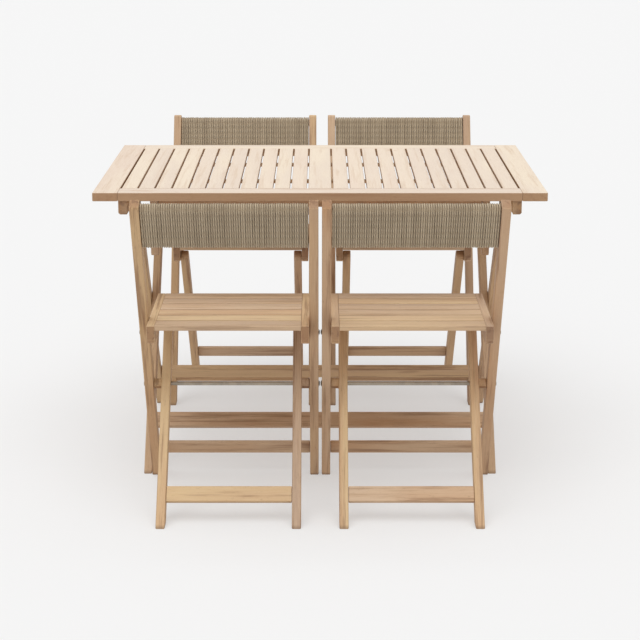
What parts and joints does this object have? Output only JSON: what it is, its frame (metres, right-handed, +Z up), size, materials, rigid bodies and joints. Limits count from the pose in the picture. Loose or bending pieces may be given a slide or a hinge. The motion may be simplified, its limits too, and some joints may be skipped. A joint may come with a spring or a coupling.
{
  "type": "folding patio dining set",
  "caption": "Slatted rectangular folding table on crossed legs, with folding slatted chairs whose backs are wound with cord.",
  "frame": {"origin": "on the floor in the middle of the set, 20.5 mm in front of the table's middle", "axes": "+Z up, X along the table's length, the front pair of chairs at -Y"},
  "size_m": [1.13, 1.4522, 0.7954],
  "materials": {
    "wood_pale": "bleached, open-pored, matt",
    "wood_warm": "oiled, satin",
    "cord": "woven",
    "steel": "dull"
  },
  "bodies": {
    "table_top_frame": {"table_top": "wood_pale", "table_tie_front": "wood_warm", "table_tie_rear": "wood_warm", "table_under_rail": "wood_warm", "table_batten_left": "wood_warm", "table_batten_right": "wood_warm", "table_hinge_bolt_left": "steel", "table_hinge_bolt_right": "steel"},
    "table_outer_frame": {"table_outer_leg_left": "wood_warm", "table_outer_leg_right": "wood_warm", "table_outer_stretcher": "wood_warm"},
    "table_inner_frame": {"table_inner_leg_left": "wood_warm", "table_inner_leg_right": "wood_warm", "table_inner_stretcher": "wood_warm"},
    "table_latch_left": {"table_stay_left": "wood_warm"},
    "table_latch_right": {"table_stay_right": "wood_warm"},
    "chair_fl_back_frame": {"chair_fl_post_left": "wood_warm", "chair_fl_post_right": "wood_warm", "chair_fl_back_rail_upper": "wood_warm", "chair_fl_back_rail_lower": "wood_warm", "chair_fl_post_stretcher": "wood_warm", "chair_fl_back_cord": "cord", "chair_fl_pivot_rod": "steel"},
    "chair_fl_leg_frame": {"chair_fl_leg_left": "wood_warm", "chair_fl_leg_right": "wood_warm", "chair_fl_leg_stretcher": "wood_warm"},
    "chair_fl_seat_frame": {"chair_fl_seat": "wood_pale"},
    "chair_fr_back_frame": {"chair_fr_post_left": "wood_warm", "chair_fr_post_right": "wood_warm", "chair_fr_back_rail_upper": "wood_warm", "chair_fr_back_rail_lower": "wood_warm", "chair_fr_post_stretcher": "wood_warm", "chair_fr_back_cord": "cord", "chair_fr_pivot_rod": "steel"},
    "chair_fr_leg_frame": {"chair_fr_leg_left": "wood_warm", "chair_fr_leg_right": "wood_warm", "chair_fr_leg_stretcher": "wood_warm"},
    "chair_fr_seat_frame": {"chair_fr_seat": "wood_pale"},
    "chair_rl_back_frame": {"chair_rl_post_left": "wood_warm", "chair_rl_post_right": "wood_warm", "chair_rl_back_rail_upper": "wood_warm", "chair_rl_back_rail_lower": "wood_warm", "chair_rl_post_stretcher": "wood_warm", "chair_rl_back_cord": "cord", "chair_rl_pivot_rod": "steel"},
    "chair_rl_leg_frame": {"chair_rl_leg_left": "wood_warm", "chair_rl_leg_right": "wood_warm", "chair_rl_leg_stretcher": "wood_warm"},
    "chair_rl_seat_frame": {"chair_rl_seat": "wood_pale"},
    "chair_rr_back_frame": {"chair_rr_post_left": "wood_warm", "chair_rr_post_right": "wood_warm", "chair_rr_back_rail_upper": "wood_warm", "chair_rr_back_rail_lower": "wood_warm", "chair_rr_post_stretcher": "wood_warm", "chair_rr_back_cord": "cord", "chair_rr_pivot_rod": "steel"},
    "chair_rr_leg_frame": {"chair_rr_leg_left": "wood_warm", "chair_rr_leg_right": "wood_warm", "chair_rr_leg_stretcher": "wood_warm"},
    "chair_rr_seat_frame": {"chair_rr_seat": "wood_pale"}
  },
  "joints": [
    {"name": "table_fold", "type": "hinge", "parent": "table_top_frame", "child": "table_outer_frame", "pos_m": [0, -0.2515, 0.708], "axis": [1, 0, 0], "range_deg": [-35, 0]},
    {"name": "table_cross", "type": "hinge", "parent": "table_outer_frame", "child": "table_inner_frame", "pos_m": [0, 0.0205, 0.37937], "axis": [1, 0, 0], "range_deg": [0, 70]},
    {"name": "latch_left", "type": "hinge", "parent": "table_top_frame", "child": "table_latch_left", "pos_m": [0, -0.2275, 0.706], "axis": [1, 0, 0], "range_deg": [-75, 75]},
    {"name": "latch_right", "type": "hinge", "parent": "table_top_frame", "child": "table_latch_right", "pos_m": [0, -0.2275, 0.706], "axis": [1, 0, 0], "range_deg": [-75, 75]},
    {"name": "chair_fl_pull_out", "type": "slide", "parent": "table_top_frame", "child": "chair_fl_back_frame", "axis": [0, -1, 0], "range_m": [0, 0.45]},
    {"name": "chair_fl_fold", "type": "hinge", "parent": "chair_fl_back_frame", "child": "chair_fl_leg_frame", "pos_m": [-0.2195, -0.4525, 0.285], "axis": [1, 0, 0], "range_deg": [0, 63]},
    {"name": "chair_fl_seat_tip", "type": "hinge", "parent": "chair_fl_back_frame", "child": "chair_fl_seat_frame", "pos_m": [-0.2195, -0.53142, 0.438], "axis": [1, 0, 0], "range_deg": [0, 115]},
    {"name": "chair_fr_pull_out", "type": "slide", "parent": "table_top_frame", "child": "chair_fr_back_frame", "axis": [0, -1, 0], "range_m": [0, 0.45]},
    {"name": "chair_fr_fold", "type": "hinge", "parent": "chair_fr_back_frame", "child": "chair_fr_leg_frame", "pos_m": [0.2205, -0.4525, 0.285], "axis": [1, 0, 0], "range_deg": [0, 63]},
    {"name": "chair_fr_seat_tip", "type": "hinge", "parent": "chair_fr_back_frame", "child": "chair_fr_seat_frame", "pos_m": [0.2205, -0.53142, 0.438], "axis": [1, 0, 0], "range_deg": [0, 115]},
    {"name": "chair_rl_pull_out", "type": "slide", "parent": "table_top_frame", "child": "chair_rl_back_frame", "axis": [0, 1, 0], "range_m": [0, 0.45]},
    {"name": "chair_rl_fold", "type": "hinge", "parent": "chair_rl_back_frame", "child": "chair_rl_leg_frame", "pos_m": [-0.227, 0.4525, 0.285], "axis": [-1, 0, 0], "range_deg": [0, 63]},
    {"name": "chair_rl_seat_tip", "type": "hinge", "parent": "chair_rl_back_frame", "child": "chair_rl_seat_frame", "pos_m": [-0.227, 0.53142, 0.438], "axis": [-1, 0, 0], "range_deg": [0, 115]},
    {"name": "chair_rr_pull_out", "type": "slide", "parent": "table_top_frame", "child": "chair_rr_back_frame", "axis": [0, 1, 0], "range_m": [0, 0.45]},
    {"name": "chair_rr_fold", "type": "hinge", "parent": "chair_rr_back_frame", "child": "chair_rr_leg_frame", "pos_m": [0.24, 0.4525, 0.285], "axis": [-1, 0, 0], "range_deg": [0, 63]},
    {"name": "chair_rr_seat_tip", "type": "hinge", "parent": "chair_rr_back_frame", "child": "chair_rr_seat_frame", "pos_m": [0.24, 0.53142, 0.438], "axis": [-1, 0, 0], "range_deg": [0, 115]}
  ],
  "couplings": [
    {"joint": "table_cross", "follows": "table_fold", "ratio": -2},
    {"joint": "chair_fl_seat_tip", "follows": "chair_fl_fold", "ratio": 1.825},
    {"joint": "chair_fr_seat_tip", "follows": "chair_fr_fold", "ratio": 1.825},
    {"joint": "chair_rl_seat_tip", "follows": "chair_rl_fold", "ratio": 1.825},
    {"joint": "chair_rr_seat_tip", "follows": "chair_rr_fold", "ratio": 1.825}
  ]
}
